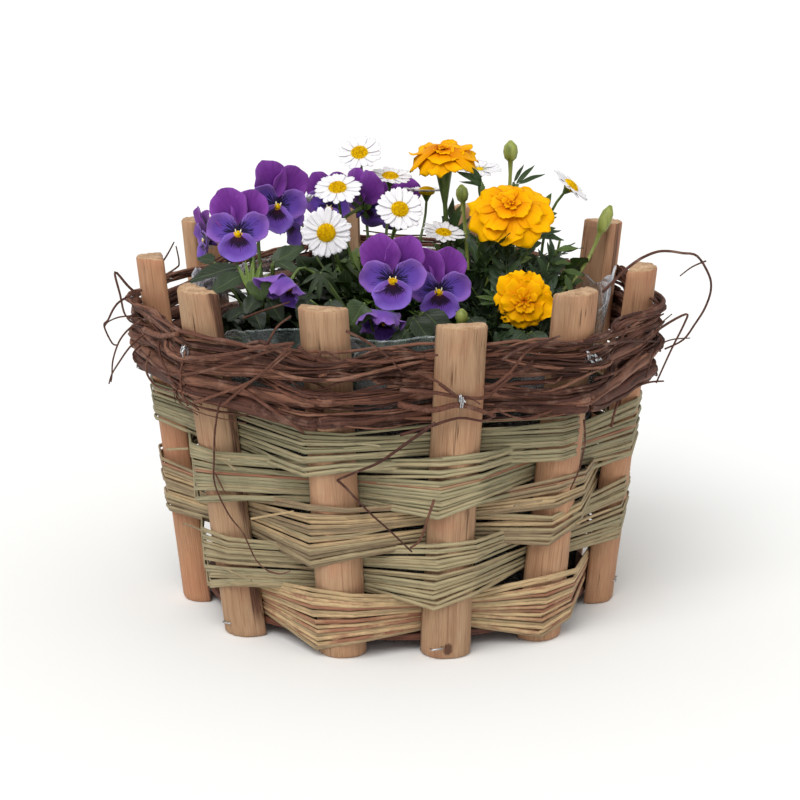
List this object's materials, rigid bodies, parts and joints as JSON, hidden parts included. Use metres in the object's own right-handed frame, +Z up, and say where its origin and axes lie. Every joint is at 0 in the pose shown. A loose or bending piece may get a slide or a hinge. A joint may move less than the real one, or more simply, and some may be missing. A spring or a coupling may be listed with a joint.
{
  "type": "flower basket arrangement",
  "caption": "Round basket of split stakes woven with rush and vine, lined with film and planted with violas, daisies and marigolds.",
  "frame": {"origin": "on the surface that the stakes stand on, at the middle of the bounding box", "axes": "+Z up, -Y towards the pictured front, +X to the right of it"},
  "size_m": [0.3815, 0.3205, 0.282],
  "materials": {
    "board": "dark brown thin plywood",
    "stake": "split round wood, bare, salmon tan",
    "rush": "split rush strands, dull grey green",
    "straw": "split rush strands, straw yellow with a few reddish ones",
    "vine": "woody vine, dark reddish brown bark",
    "film": "clear crumpled plastic film",
    "soil": "damp dark potting soil",
    "leaf": "fresh green leaves, dull",
    "viola": "soft violet petals with a dark blotch and a yellow eye",
    "rays": "white ray petals",
    "disc": "golden yellow floret disc",
    "marigold": "golden yellow ruffled petals"
  },
  "bodies": {
    "root": {"base_disc": "board", "stake_01": "stake", "stake_02": "stake", "stake_03": "stake", "stake_04": "stake", "stake_05": "stake", "stake_06": "stake", "stake_07": "stake", "stake_08": "stake", "stake_09": "stake", "stake_10": "stake", "rush_band_1": "straw", "rush_band_2": "rush", "rush_band_3": "straw", "rush_band_4": "rush", "rush_band_5": "rush", "vine_ring_lower": "vine", "vine_ring_middle": "vine", "vine_ring_upper": "vine", "liner": "film", "soil": "soil", "viola_01": "viola", "viola_02": "viola", "viola_03": "viola", "viola_04": "viola", "viola_05": "viola", "viola_06": "viola", "viola_07": "viola", "viola_08": "viola", "viola_09": "viola", "viola_10": "viola", "viola_11": "viola", "marigold_01": "marigold", "marigold_02": "marigold", "marigold_03": "marigold", "daisy_rays_01": "rays", "daisy_rays_02": "rays", "daisy_rays_03": "rays", "daisy_rays_04": "rays", "daisy_rays_05": "rays", "daisy_rays_06": "rays", "daisy_rays_07": "rays", "daisy_rays_08": "rays", "daisy_rays_09": "rays", "daisy_rays_10": "rays", "daisy_disc_01": "disc", "daisy_disc_02": "disc", "daisy_disc_03": "disc", "daisy_disc_04": "disc", "daisy_disc_05": "disc", "daisy_disc_06": "disc", "daisy_disc_07": "disc", "daisy_disc_09": "disc", "viola_plant_left": "leaf", "viola_plant_front": "leaf", "viola_plant_back": "leaf", "daisy_plant_left": "leaf", "daisy_plant_right": "leaf", "marigold_plant_back": "leaf", "marigold_plant_front": "leaf"}
  },
  "joints": []
}
